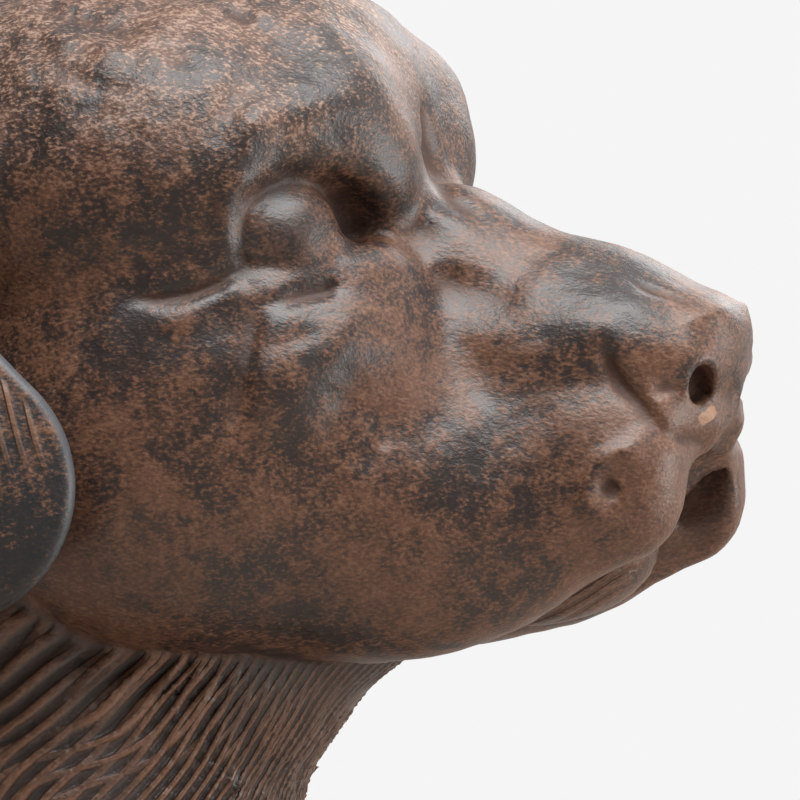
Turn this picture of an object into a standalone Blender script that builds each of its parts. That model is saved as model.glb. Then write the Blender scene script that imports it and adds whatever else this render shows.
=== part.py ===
"""A life-size bust of a retriever cast in iron: head, hanging ears and a neck of combed fur, cut flat below.

The head is built as clay would be. Rounded masses are laid on one another and pressed together, hollows are
pushed in, folds and locks are drawn along paths, and a skin is then laid over the form.
The dog faces +X, its left side is +Y, and the middle of the flat underside is the origin.
"""

import bmesh
import bpy
import numpy as np
from mathutils import Euler, Matrix, Vector

# Driving dimensions, in metres
HEAD_LENGTH = 0.235
NECK_DROP = 0.215
EAR_THICKNESS = 0.008
FUR_RIDGE_SPACING = 0.0095
FUR_RIDGE_HEIGHT = 0.0019
SKIN_CELL = 0.002
FACES = 9600

# The head is drawn at this length, so that one drawn unit is a millimetre on a head of 235 mm
DRAWN_LENGTH = 235.0
UNIT = HEAD_LENGTH / DRAWN_LENGTH

# The drawing's own origin is the middle of the nose's front. The base's middle lies behind and below it
BASE_BEHIND_NOSE = 171.0
CUT_LEVEL = -NECK_DROP / UNIT

# Masses: centre, radii, pitch in degrees (nose end up), squareness (2 is an ellipsoid), blend with what is there.
# A mass away from the middle stands for a pair, one each side
SKULL = (
    ((-142, 0, 31), (68, 55, 52), 0, 2.2, 12),      # brain case
    ((-192, 0, 28), (38, 42, 38), 0, 2.0, 18),      # back of the skull
    ((-105, 0, 45), (30, 34, 34), 0, 2.3, 12),      # forehead
    ((-126, 35, 34), (38, 23, 34), 0, 2.0, 12),     # temple
    ((-114, 38, -2), (34, 19, 20), 0, 2.0, 12),     # cheek bone
    ((-128, 34, -26), (44, 29, 42), 0, 2.0, 14),    # cheek
    ((-92, 22, -31), (42, 25, 37), 4, 2.0, 20),     # hinge of the lips
    ((-178, 45, 44), (24, 16, 15), -20, 2.0, 12),   # root of the ear
)
MUZZLE = (
    ((-46, 0, -8), (46, 27, 27), -4, 2.4, 10),      # upper jaw
    ((-41, 0, 5.2), (33, 14.5, 18.5), -12, 2.3, 7),     # bridge of the nose
    ((-68.5, 0, 14.5), (22, 20, 20.5), -28, 2.0, 9),    # stop
    ((-21.5, 17, -25.5), (14.5, 10, 19), 0, 2.6, 5),    # whisker pad
    ((-29, 17.5, -29), (19, 11.5, 19.5), 8, 2.3, 7),    # hanging lip, front
    ((-51, 18, -37), (24, 14.5, 24), 10, 2.2, 12),  # hanging lip, middle
    ((-72, 20, -42), (28, 17, 25), 8, 2.0, 18),     # hanging lip, back
)
BROW = (
    ((-88.3, 22, 48), (15.5, 15, 18), 0, 2.1, 7),   # over the eye
    ((-80.6, 20, 37), (9.5, 9, 12), -8, 2.0, 9),    # inner end
    ((-96, 33, 44), (13, 11, 14), 0, 2.0, 7),       # outer end
)
NOSE = (
    ((-12.2, 0, -2), (13, 16.5, 13.5), -12, 2.3, 2.0),  # body of the nose
    ((-14.8, 12.5, -4.5), (13, 8.5, 12.2), -22, 2.2, 2.5),  # wing
    ((-25, 15, 1), (11, 8.5, 9), 0, 2.0, 7),            # wing's root, level with the muzzle
    ((-11.5, 0, 5.5), (11, 14, 6.5), -14, 2.4, 4),      # flat top
)
NECK = (
    ((-170, 0, -30), (60, 51, 80), 0, 2.0, 16),
    ((-176, 0, -130), (66, 56, 92), 0, 2.0, 24),
)
THROAT = (
    ((-94, 0, -49), (26, 24, 27), 0, 2.0, 12),
    ((-123, 0, -70), (32, 34, 32), 0, 2.0, 14),
    ((-150, 0, -98), (38, 44, 42), 0, 2.0, 16),
)
CHIN = ((-44, 0, -46), (24, 14.5, 16.5), 14, 2.2, 2.5)
SOCKET = (
    ((-87, 42, 27), (12, 12, 10), 0, 2.0, 9),       # round the eye
    ((-81, 31.5, 25.5), (7.5, 8.5, 7), 0, 2.0, 9),  # deepest, before the inner corner
)
# The left lip hangs this much lower, and is this much further forward than the middle
LIP_DROP = 3.0
LIP_ADVANCE = 1.5
EYEBALL = ((-93.6, 36, 23.3), (11.7, 11.8, 12.5), 0, 2.0, 2.5)

# Rolls of skin under the eye: two ends, the radius at each, blend
ROLLS = (
    ((-83, 33, 13), (-93, 43, 6.5), 7.5, 8.0, 8),           # bag
    ((-80, 38, 0), (-91, 46, -7), 9.5, 9.0, 9),             # fullness below the bag
    ((-82, 36, 15.5), (-98, 50, 9), 3.4, 3.2, 4),           # lower lid
)

# Folds: corners of the tool's path, its width, how deep it goes (a negative depth raises a ridge), and how much
# of the distance across the head counts (little, where the path is drawn as seen from the side)
FOLDS = (
    # Furrow up the middle of the forehead, and its fork at the stop
    (((-71, 0, 36), (-75, 0, 43), (-79, 0, 51), (-90, 0, 67), (-110, 0, 79)), 4.4, 3.2, 1.0),
    (((-76, 0, 44), (-73.5, 1, 40), (-70.4, 3.2, 36), (-65.5, 8.3, 31), (-60.7, 10, 28.7), (-56, 11.8, 26)),
     3.0, 1.5, 1.0),
    # Crease under the lower lid, and the edge of the bag
    (((-79, 41, 13.5), (-82, 43, 12.4), (-87.5, 47.7, 11), (-91, 50, 10), (-94, 50, 10.5)), 2.2, 0.8, 0.15),
    (((-80, 40, 4), (-85, 44, 2), (-90, 47, 0.5), (-93, 50, 0)), 1.8, 0.6, 0.15),
    (((-73.5, 37, 7), (-72.9, 43, 1), (-75, 46, -8), (-77.5, 47, -15)), 3.0, 0.7, 0.15),
    # Rim of the eye socket, and the groove between it and the eyeball
    (((-92, 47, 56), (-96, 50, 50), (-98, 51, 40), (-98.5, 51, 30), (-99, 52, 22), (-102, 54, 18)), 4.6, -2.0, 0.15),
    (((-93, 47, 37), (-97.5, 49, 31), (-98.5, 50, 23), (-97.5, 50, 15)), 2.1, 1.5, 0.15),
    # Folds behind and below the eye
    (((-99, 52, 18), (-103, 54, 14.5), (-108, 56, 12), (-115, 57, 10.7), (-122, 58, 10.5)), 1.8, 1.7, 0.15),
    (((-98, 52, 15), (-101, 54, 12), (-108.5, 56, 7.5), (-116, 57, 5)), 3.2, -0.8, 0.15),
    (((-96.5, 50, 15), (-95.4, 52, 8), (-95.4, 55, -1), (-96.7, 57, -10), (-99, 58, -18)), 3.2, 1.7, 0.15),
    # Hollow beside the bridge of the nose
    (((-66, 23, 15), (-55, 22.5, 11), (-42, 22, 8)), 4.2, 1.6, 0.15),
    (((-66, 20, 28), (-68, 22, 20), (-67, 23, 12)), 4.4, 0.9, 0.15),
    # Edge of the nose leather, and the slit behind the nostril
    (((-24, 12, 13), (-18, 12, 12), (-12, 12, 10.5), (-8, 12, 9)), 1.8, 0.8, 1.0),
    (((-8, 15, 5), (-6, 14, 6.6), (-3, 12, 7.3), (-1.5, 9, 8.8), (0, 3, 9.9)), 1.7, -0.7, 0.5),
    (((-24, 23, 2), (-23, 23, -3), (-20.5, 24, -8), (-16, 24, -12.5), (-11, 22, -18), (-7, 16, -20.5),
      (-4, 8, -21)), 2.0, 1.4, 0.3),
    (((-27, 26, -2), (-24, 26, -9), (-19.5, 25, -15), (-15, 24, -20)), 5.0, 1.3, 0.3),
    (((-7, 18, -8), (-10, 20, -8.8), (-14, 22, -9)), 1.7, 1.1, 0.3),
    # Rim of the upper lip, and the scar on the whisker pad
    (((-9, 8, -21), (-9, 13, -27), (-10, 16, -34), (-14, 19, -41), (-24, 22, -48)), 1.7, -0.9, 1.0),
    (((-18, 31, -29), (-21, 31, -32)), 2.2, 1.8, 0.15),
    (((-13, 30, -26), (-17, 31, -22), (-22, 32, -25), (-24, 32, -33), (-19, 31, -38)), 2.4, -1.0, 0.15),
)


# The room that the form fills on the dog's left, in drawn units
ROOM = ((-276.0, 6.0), (0.0, 92.0), (CUT_LEVEL - 6.0, 94.0))


def drawn(length):
    """A real length in the drawing's units."""
    return length / UNIT


def smooth_union(a, b, blend):
    """The lesser of two distances, with the corner between them rounded over blend."""
    h = np.maximum(blend - np.abs(a - b), 0) / blend
    return np.minimum(a, b) - h * h * blend / 4


def smooth_cut(a, b, blend):
    """Distance a with distance b taken out of it."""
    return -smooth_union(-a, b, blend)


def turned(pitch):
    return np.array(Euler((0, np.radians(-pitch), 0)).to_matrix())


def mass(points, centre, radii, pitch=0, squareness=2.0):
    """Distance from a rounded mass."""
    radii = np.array(radii, float)
    q = np.abs((points - centre) @ turned(pitch)) / radii + 1e-9
    if squareness == 2.0:
        near = np.sqrt((q * q).sum(1))
        return (near - 1) * near / np.linalg.norm(q / radii, axis=1)
    steep = q ** (squareness - 1)
    near = (steep * q).sum(1) ** (1 / squareness)
    return (near - 1) * near ** (squareness - 1) / np.linalg.norm(steep / radii, axis=1)


def pressed(d, points, masses):
    """Distance d with each mass pressed onto it."""
    for centre, radii, pitch, squareness, blend in masses:
        d = smooth_union(d, mass(points, centre, radii, pitch, squareness), blend)
    return d


def limb(points, start, end, start_radius, end_radius):
    """Distance from a rod with round ends whose radius changes along it."""
    start, along = np.array(start, float), np.array(end, float) - start
    share = np.clip((points - start) @ along / (along @ along), 0, 1)
    from_axis = np.linalg.norm(points - start - share[:, None] * along, axis=1)
    return from_axis - start_radius - (end_radius - start_radius) * share


def curve_through(corners, steps=5):
    """Points along a smooth curve through the corners."""
    c = np.array(corners, float)
    ends = np.vstack([2 * c[0] - c[1], c, 2 * c[-1] - c[-2]])
    t = np.linspace(0, 1, steps, endpoint=False)[:, None]
    parts = []
    for a, b, d, e in zip(ends, ends[1:], ends[2:], ends[3:]):
        cubic = 3 * b - a - 3 * d + e
        parts.append(b + 0.5 * t * ((d - a) + t * ((2 * a - 5 * b + 4 * d - e) + t * cubic)))
    return np.vstack([*parts, c[-1:]])


def fold(points, corners, width, depth, across):
    """How far a tool drawn through the corners pushes the surface in."""
    scale = np.array((1, across, 1))
    path = curve_through(corners) * scale
    result = np.zeros(len(points))
    reach = 2.6 * width
    low, high = path.min(0) - reach, path.max(0) + reach
    seen = np.flatnonzero(((points * scale > low) & (points * scale < high)).all(1))
    p = points[seen] * scale
    nearest = np.full(len(p), np.inf)
    place = np.zeros(len(p))
    for i, (a, b) in enumerate(zip(path, path[1:])):
        along = b - a
        share = np.clip((p - a) @ along / (along @ along), 0, 1)
        away = ((p - a - share[:, None] * along) ** 2).sum(1)
        closer = away < nearest
        nearest = np.where(closer, away, nearest)
        place = np.where(closer, (i + share) / (len(path) - 1), place)
    fade = np.clip(4 * np.minimum(place, 1 - place) + 0.2, 0, 1)
    result[seen] = depth * fade * np.exp(-nearest / width**2)
    return result


def sway(points, length, seed):
    """A smooth irregular value between about -1 and 1, which changes over the given length."""
    rng = np.random.default_rng(seed)
    total = np.zeros(len(points))
    for _ in range(5):
        way = rng.normal(size=3)
        way *= rng.uniform(0.7, 1.5) / np.linalg.norm(way)
        total += np.sin(points @ way * (2 * np.pi / length) + rng.uniform(0, 6.3))
    return total / 2.6


# Ear: a flap that hangs from EAR_ROOT, past EAR_TIP. Its outline is drawn in its own sheet, down and forward
EAR_ROOT = np.array((-184.0, 56.0, 41.0))
EAR_TIP = np.array((-156.0, 73.0, -61.0))
EAR_TURN = 12.0
EAR_CURL = 0.005
EAR_SWELL = 6.0
EAR_TOP, EAR_MIDDLE, EAR_END = (8.0, -17.0), (48.0, -13.0), (77.0, 6.0)
EAR_TOP_RADIUS, EAR_MIDDLE_RADIUS, EAR_END_RADIUS = 18.0, 30.0, 29.5
EAR_LENGTH = float(np.linalg.norm(EAR_TIP - EAR_ROOT))


def ear_axes():
    down = (EAR_TIP - EAR_ROOT) / EAR_LENGTH
    forward = np.array((np.cos(np.radians(EAR_TURN)), np.sin(np.radians(EAR_TURN)), 0.0))
    forward -= down * (forward @ down)
    forward /= np.linalg.norm(forward)
    return down, forward, np.cross(forward, down)


def ear_bow(down, forward):
    """How far the flap stands out from its own plane at a place on it."""
    return EAR_SWELL * np.sin(np.pi * np.clip(down / EAR_LENGTH, 0, 1)) - EAR_CURL * forward**2


def ear_outline(a, b):
    """Distance in the ear's own sheet from its outline."""
    q = np.stack([np.atleast_1d(a), np.atleast_1d(b)], 1)
    upper = limb(q, EAR_TOP, EAR_MIDDLE, EAR_TOP_RADIUS, EAR_MIDDLE_RADIUS)
    lower = limb(q, EAR_MIDDLE, EAR_END, EAR_MIDDLE_RADIUS, EAR_END_RADIUS)
    return smooth_union(upper, lower, 8)


def ear(points):
    """Distance from the ear, and how far down it each point lies."""
    down, forward, out = ear_axes()
    q = points - EAR_ROOT
    a, b = q @ down, q @ forward
    c = q @ out - ear_bow(a, b)
    half = drawn(EAR_THICKNESS) / 2
    rim = half * 0.8
    over = np.maximum(ear_outline(a, b) + rim, 0)
    off = np.maximum(np.abs(c) - (half - rim), 0)
    return np.hypot(over, off) - rim, a


def chest():
    """The chest stands on the cut, wherever that is."""
    return ((-172, 0, CUT_LEVEL), (90, 76, 80), 0, 2.0, 34)


def neck(points):
    """The neck and the chest that it widens into, down past the cut."""
    far = np.full(len(points), 1e3)
    return pressed(pressed(far, points, (*NECK, chest())), points, THROAT)


# The combed fur starts where jaw and throat meet and is combed back and down, at this slope in degrees
COMB_START = (-88.0, -76.0)
COMB_SLOPE = 44.0


def fur_ridges(points):
    """Height of the combed ridges, which lie in planes through the line they are combed along."""
    x, y, z = points.T
    slope = np.radians(COMB_SLOPE)
    above = (COMB_START[0] - x) * np.sin(slope) + (z - COMB_START[1]) * np.cos(slope)
    way = np.arctan2(y, above)
    phase = way * 52 / drawn(FUR_RIDGE_SPACING) + 0.35 * sway(points, 60, 4)
    crest = (0.5 + 0.5 * np.cos(2 * np.pi * phase)) ** 1.4
    jaw_line = -68 + 0.22 * np.maximum(-95 - x, 0)
    apart = np.clip(np.hypot(y, above) / 34 - 0.2, 0, 1)
    return drawn(FUR_RIDGE_HEIGHT) * crest * apart * np.clip((jaw_line - z) / 8, 0, 1)


def mouth(points):
    """The gap where the lips part below the nose."""
    upper = limb(points, (0, 0, -23), (-5, 0, -37), 6.0, 14.0)
    lower = limb(points, (-5, 0, -37), (-20, 0, -58), 14.0, 18.0)
    inner = limb(points, (-8, 0, -30), (-25, 0, -32.5), 6.5, 4.5)
    return np.minimum(np.minimum(upper, lower), inner)


def nostril(points):
    """The opening, which faces forward and outward."""
    upper = limb(points, (2, 21, -6.2), (-7, 12.5, -6.8), 3.4, 2.6)
    lower = limb(points, (2, 21, -10.2), (-7, 12.5, -10), 3.5, 2.8)
    return smooth_union(upper, lower, 2)


def head(points):
    """The head without its ears."""
    d = pressed(np.full(len(points), 1e3), points, (*SKULL, *MUZZLE, *BROW))
    d = smooth_cut(d, mouth(points), 2.5)
    d = pressed(d, points, NOSE)
    d = smooth_cut(d, nostril(points), 1.2)
    for centre, radii, pitch, squareness, blend in SOCKET:
        d = smooth_cut(d, mass(points, centre, radii, pitch, squareness), blend)
    d = pressed(d, points, (EYEBALL,))
    for *rod, blend in ROLLS:
        d = smooth_union(d, limb(points, *rod), blend)
    for one in FOLDS:
        d = d + fold(points, *one)
    crown = np.clip((points[:, 2] - 40) / 25, 0, 1) * np.clip((-95 - points[:, 0]) / 25, 0, 1)
    return d - crown * 0.9 * sway(points, 26, 7)


def form(points):
    """Distance from the finished surface, in drawn units, on either side of the middle."""
    p = points * (1, 0, 1) + np.abs(points) * (0, 1, 0)
    d = pressed(head(p), p, (CHIN,))
    d = smooth_union(d, neck(p) - fur_ridges(p), 3)
    flap, down = ear(p)
    return smooth_union(d, flap, np.clip(14 - down * 0.35, 1.5, 14))


def settle(points, rounds, most):
    """Moves points onto the form, down its slope, by no more than most at a time."""
    step = 0.05
    corners = np.array(((1, -1, -1), (-1, -1, 1), (-1, 1, -1), (1, 1, 1)), float)
    for _ in range(rounds):
        values = [form(points + step * c) for c in corners]
        slope = sum(np.outer(v, c) for v, c in zip(values, corners)) / (4 * step)
        steep = np.linalg.norm(slope, axis=1)
        move = np.clip(sum(values) / 4 / np.maximum(steep, 0.5), -most, most)
        points = points - slope * (move / (steep + 1e-9))[:, None]
    return points


def values_near_form(axes, cell):
    """The form's distance at every grid point, exact near the surface and rough elsewhere."""
    coarse = [axis[::4] for axis in axes]
    rough = form(np.stack(np.meshgrid(*coarse, indexing="ij"), -1).reshape(-1, 3))
    rough = rough.reshape([len(axis) for axis in coarse])
    for way, axis in enumerate(axes):
        rough = np.repeat(rough, 4, way).take(range(len(axis)), way)
    near = np.argwhere(np.abs(rough) < 6 * cell)
    rough[tuple(near.T)] = form(np.stack([axis[i] for axis, i in zip(axes, near.T)], 1))
    return rough


CELL_CORNERS = np.array(list(np.ndindex(2, 2, 2)))


def in_one_piece(corners):
    """Whether these corners of a grid cell hang together along its edges."""
    left = [tuple(c) for c in corners]
    reached = left[:1]
    for one in reached:
        reached += [c for c in left if c not in reached and np.abs(np.subtract(c, one)).sum() == 1]
    return len(reached) == len(left)


def codes(inside):
    """For each grid cell, which of its eight corners lie inside, as the bits of a number."""
    size = np.array(inside.shape) - 1
    total = np.zeros(size, np.uint8)
    for bit, shift in enumerate(CELL_CORNERS):
        total |= inside[tuple(slice(o, o + n) for o, n in zip(shift, size))].astype(np.uint8) << bit
    return total


def closed_up(values, cell):
    """The same values, with gaps and walls too thin for the grid filled in."""
    sets = [CELL_CORNERS[(code >> np.arange(8)) & 1 == 1] for code in range(256)]
    thin = np.array([not (in_one_piece(sets[code]) and in_one_piece(sets[255 - code])) for code in range(256)])
    for _ in range(60):
        cells = np.argwhere(thin[codes(values < 0)])
        if not len(cells):
            break
        corners = cells[:, None] + CELL_CORNERS
        there = values[tuple(corners.reshape(-1, 3).T)].reshape(-1, 8)
        nearest = np.where(there < 0, np.inf, there).argmin(1)
        values[tuple(corners[np.arange(len(cells)), nearest].T)] = -0.05 * cell
    return values


def skin(cell):
    """Corners and four-sided faces of the form's surface, one corner to each grid cell that it crosses."""
    axes = [np.arange(low + cell / 2, high, cell) for low, high in ROOM]
    half = values_near_form(axes, cell)
    values = closed_up(np.concatenate([half[:, ::-1], half], 1), cell)
    axes[1] = np.concatenate([-axes[1][::-1], axes[1]])
    inside = values < 0
    code = codes(inside)
    crossed = np.argwhere((code > 0) & (code < 255))
    number = np.full(code.shape, -1)
    number[tuple(crossed.T)] = np.arange(len(crossed))

    total = np.zeros(crossed.shape)
    crossings = np.zeros(len(crossed))
    for start in CELL_CORNERS:
        for way in np.flatnonzero(start == 0):
            end = start + np.eye(3, dtype=int)[way]
            a = values[tuple((crossed + start).T)]
            b = values[tuple((crossed + end).T)]
            cut = (a < 0) != (b < 0)
            place = crossed + start + np.outer(np.where(cut, a / np.where(cut, a - b, 1), 0), end - start)
            total += place * cut[:, None]
            crossings += cut
    first = np.array([axis[0] for axis in axes])
    corners = first + total / crossings[:, None] * cell

    faces = []
    for way in range(3):
        u, v = np.eye(3, dtype=int)[[(way + 1) % 3, (way + 2) % 3]]
        ahead = np.take(inside, range(1, inside.shape[way]), way)
        here = np.take(inside, range(inside.shape[way] - 1), way)
        edges = np.argwhere(ahead != here)
        edges = edges[((edges @ (u + v)[:, None] > 0).ravel()) & (edges @ u > 0) & (edges @ v > 0)]
        ring = [number[tuple((edges - shift).T)] for shift in (u + v, v, 0 * u, u)]
        ring = np.stack(ring, 1)
        outward = here[tuple(edges.T)]
        faces.append(np.where(outward[:, None], ring, ring[:, ::-1]))
    faces = np.concatenate(faces)
    return corners, faces[(faces >= 0).all(1)]


def form_mesh(cell):
    corners, faces = skin(cell)
    mesh = bpy.data.meshes.new("dog_bust")
    mesh.from_pydata(hung(settle(corners, 2, 0.3 * cell)), [], faces.tolist())
    return mesh


def iron():
    material = bpy.data.materials.new("rusted iron")
    material.use_nodes = True
    shader = material.node_tree.nodes["Principled BSDF"]
    shader.inputs["Base Color"].default_value = (0.115, 0.066, 0.046, 1)
    shader.inputs["Metallic"].default_value = 0.35
    shader.inputs["Roughness"].default_value = 0.48
    return material


def eased(value):
    """0 below 0, 1 above 1, and a smooth climb between them."""
    value = np.clip(value, 0, 1)
    return value * value * (3 - 2 * value)


def hung(corners):
    """The corners with the lips let hang: the left one lower and further forward than the right one."""
    x, y, z = corners.T
    lip = eased((x + 62) / 34) * eased((-10 - z) / 24)
    left = eased((y + 14) / 28)
    return corners + np.outer(lip, (1, 0, 0)) * (2 * left - 1)[:, None] * LIP_ADVANCE - np.outer(
        lip * eased((y - 2) / 14), (0, 0, LIP_DROP)
    )


def with_fewer_faces(mesh):
    """The mesh with small faces merged where the form is plain."""
    holder = bpy.data.objects.new("fine", mesh)
    bpy.context.collection.objects.link(holder)
    fewer = holder.modifiers.new("fewer faces", "DECIMATE")
    fewer.ratio = FACES / (2 * len(mesh.polygons))
    fewer.use_collapse_triangulate = True
    shown = holder.evaluated_get(bpy.context.evaluated_depsgraph_get())
    made = bpy.data.meshes.new_from_object(shown)
    bpy.data.objects.remove(holder)
    bpy.data.meshes.remove(mesh)
    return made


def main():
    for old in list(bpy.data.objects):
        bpy.data.objects.remove(old, do_unlink=True)
    mesh = with_fewer_faces(form_mesh(drawn(SKIN_CELL)))
    bm = bmesh.new()
    bm.from_mesh(mesh)
    bmesh.ops.transform(bm, matrix=Matrix.Translation((BASE_BEHIND_NOSE, 0, -CUT_LEVEL)), verts=bm.verts)
    bmesh.ops.scale(bm, vec=Vector((UNIT, UNIT, UNIT)), verts=bm.verts)
    cut = bmesh.ops.bisect_plane(
        bm, geom=bm.verts[:] + bm.edges[:] + bm.faces[:], plane_co=(0, 0, 0), plane_no=(0, 0, -1), clear_outer=True
    )
    bmesh.ops.edgeloop_fill(bm, edges=[e for e in cut["geom_cut"] if isinstance(e, bmesh.types.BMEdge)])
    bmesh.ops.recalc_face_normals(bm, faces=bm.faces)
    bm.to_mesh(mesh)
    bm.free()
    mesh.name = "dog_bust"
    mesh.shade_smooth()
    bust = bpy.data.objects.new("dog_bust", mesh)
    bpy.context.collection.objects.link(bust)
    bust.data.materials.append(iron())


main()
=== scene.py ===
"""A life-size bust of a retriever cast in iron and left to rust, on a pale studio floor.

The dog faces +X, its left side is +Y, and the bust stands on Z = 0.
"""

import bmesh
import bpy
import numpy as np
from mathutils import Euler, Matrix, Vector


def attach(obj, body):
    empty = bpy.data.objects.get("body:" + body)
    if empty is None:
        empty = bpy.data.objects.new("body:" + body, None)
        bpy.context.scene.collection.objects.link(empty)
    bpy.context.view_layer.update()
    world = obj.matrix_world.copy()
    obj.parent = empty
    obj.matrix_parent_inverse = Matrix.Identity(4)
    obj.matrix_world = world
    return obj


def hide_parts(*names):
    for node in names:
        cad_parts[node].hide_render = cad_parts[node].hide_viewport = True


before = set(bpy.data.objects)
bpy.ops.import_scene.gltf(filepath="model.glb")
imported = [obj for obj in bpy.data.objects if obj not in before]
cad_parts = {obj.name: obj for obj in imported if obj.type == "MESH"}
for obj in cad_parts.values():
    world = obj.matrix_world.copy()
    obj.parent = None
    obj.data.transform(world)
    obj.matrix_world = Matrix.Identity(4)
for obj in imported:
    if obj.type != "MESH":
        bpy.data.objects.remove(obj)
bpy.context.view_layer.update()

# Camera. The photograph is taken from the dog's right, a little in front and just above its nose. The lower
# edge of the frame cuts the neck, and the left edge cuts the back of the head.
PHOTO_SIDE = 800
PIXEL = 0.00022
NOSE_PIXEL = (742, 345)
NOSE_PLACE = Vector((0.171, 0, 0.215))
CAMERA_AZIMUTH, CAMERA_ELEVATION, CAMERA_DISTANCE = np.radians(20), np.radians(3), 1.6

back = Vector((
    np.sin(CAMERA_AZIMUTH) * np.cos(CAMERA_ELEVATION),
    -np.cos(CAMERA_AZIMUTH) * np.cos(CAMERA_ELEVATION),
    np.sin(CAMERA_ELEVATION),
))
right = Vector((np.cos(CAMERA_AZIMUTH), np.sin(CAMERA_AZIMUTH), 0))
up = back.cross(right)
MIDDLE = PHOTO_SIDE / 2
centre = NOSE_PLACE + (right * (MIDDLE - NOSE_PIXEL[0]) - up * (MIDDLE - NOSE_PIXEL[1])) * PIXEL
lens = bpy.data.cameras.new("camera")
lens.lens = lens.sensor_width * CAMERA_DISTANCE / (PHOTO_SIDE * PIXEL)
camera = bpy.data.objects.new("camera", lens)
bpy.context.collection.objects.link(camera)
camera.location = centre + back * CAMERA_DISTANCE
camera.rotation_euler = back.to_track_quat("Z", "Y").to_euler()
bpy.context.scene.camera = camera
bpy.context.scene.view_settings.view_transform = "Standard"

# Studio. A round pale floor in a white room. A wide soft light hangs overhead, towards the camera, and the
# room is bright behind the dog and in front of its nose, and dim on the camera's side.
FLOOR_RADIUS = 1.0
FLOOR_COLOUR = (0.36, 0.31, 0.27, 1)
ROOM_SHADE = (0.913, 0.913, 0.913, 1)
# How bright the room is on its two sides, and where the climb starts and ends, from -1 at one side to 1
DIM_SIDE, BRIGHT_SIDE = 0.05, 0.95
CLIMB_START, CLIMB_END = -0.45, 0.55

bm = bmesh.new()
bmesh.ops.create_circle(bm, cap_ends=True, segments=96, radius=FLOOR_RADIUS)
mesh = bpy.data.meshes.new("floor")
bm.to_mesh(mesh)
bm.free()
floor = bpy.data.objects.new("floor", mesh)
bpy.context.collection.objects.link(floor)
paper = bpy.data.materials.new("pale paper")
paper.use_nodes = True
surface = paper.node_tree.nodes["Principled BSDF"].inputs
surface["Base Color"].default_value = FLOOR_COLOUR
surface["Roughness"].default_value = 0.9
mesh.materials.append(paper)

# Each lamp: its name, its place, its width and height, and its power in watts
for name, place, width, height, power in (
    ("overhead", centre - right * 0.05 + up * 1.12 + back * 0.50, 1.2, 0.9, 43),
    ("rear", centre + right * 0.8 + up * 0.9 - back * 1.0, 1.2, 1.0, 18),
    ("front", centre + right * 1.1 - up * 0.10 + back * 0.30, 0.8, 0.5, 13),
):
    lamp = bpy.data.lights.new(name, "AREA")
    lamp.shape = "RECTANGLE"
    lamp.size, lamp.size_y, lamp.energy = width, height, power
    light = bpy.data.objects.new(name, lamp)
    bpy.context.collection.objects.link(light)
    light.location = place
    light.rotation_euler = (place - centre).to_track_quat("Z", "Y").to_euler()

room = bpy.data.worlds.new("white room")
bpy.context.scene.world = room
room.use_nodes = True
nodes, links = room.node_tree.nodes, room.node_tree.links
side = nodes.new("ShaderNodeVectorMath")
side.operation = "DOT_PRODUCT"
side.inputs[1].default_value = (right * 0.75 - back * 0.65).normalized()
links.new(nodes.new("ShaderNodeTexCoord").outputs["Generated"], side.inputs[0])
shade = nodes.new("ShaderNodeMapRange")
shade.interpolation_type = "SMOOTHSTEP"
for name, value in {
    "From Min": CLIMB_START, "From Max": CLIMB_END, "To Min": DIM_SIDE, "To Max": BRIGHT_SIDE,
}.items():
    shade.inputs[name].default_value = value
links.new(side.outputs["Value"], shade.inputs["Value"])
strength = nodes.new("ShaderNodeMix")
strength.inputs["B"].default_value = 1.0
links.new(nodes.new("ShaderNodeLightPath").outputs["Is Camera Ray"], strength.inputs["Factor"])
links.new(shade.outputs["Result"], strength.inputs["A"])
links.new(strength.outputs["Result"], nodes["Background"].inputs["Strength"])
nodes["Background"].inputs["Color"].default_value = ROOM_SHADE

# Dog bust. One hollow iron casting, left to rust and waxed. It is shaped as clay would be: rounded masses
# pressed together, hollows pushed in, folds drawn along paths, and the coat raised in strands on the neck, in
# ribs on the ears and in fine grooves on the chin.
HEAD_LENGTH = 0.235
NECK_DROP = 0.215
EAR_THICKNESS = 0.008
STRAND_SPACING = 0.0041
STRAND_HEIGHT = 0.0016
# The skin is laid on a grid of cells this wide, and thinned to this many faces
SKIN_CELL = 0.0011
FACES = 190000

# The head is drawn at this length, so that one drawn unit is a millimetre on a head of 235 mm
DRAWN_LENGTH = 235.0
UNIT = HEAD_LENGTH / DRAWN_LENGTH

# The drawing's own origin is the middle of the nose's front. The base's middle lies behind and below it
BASE_BEHIND_NOSE = 171.0
CUT_LEVEL = -NECK_DROP / UNIT

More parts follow.
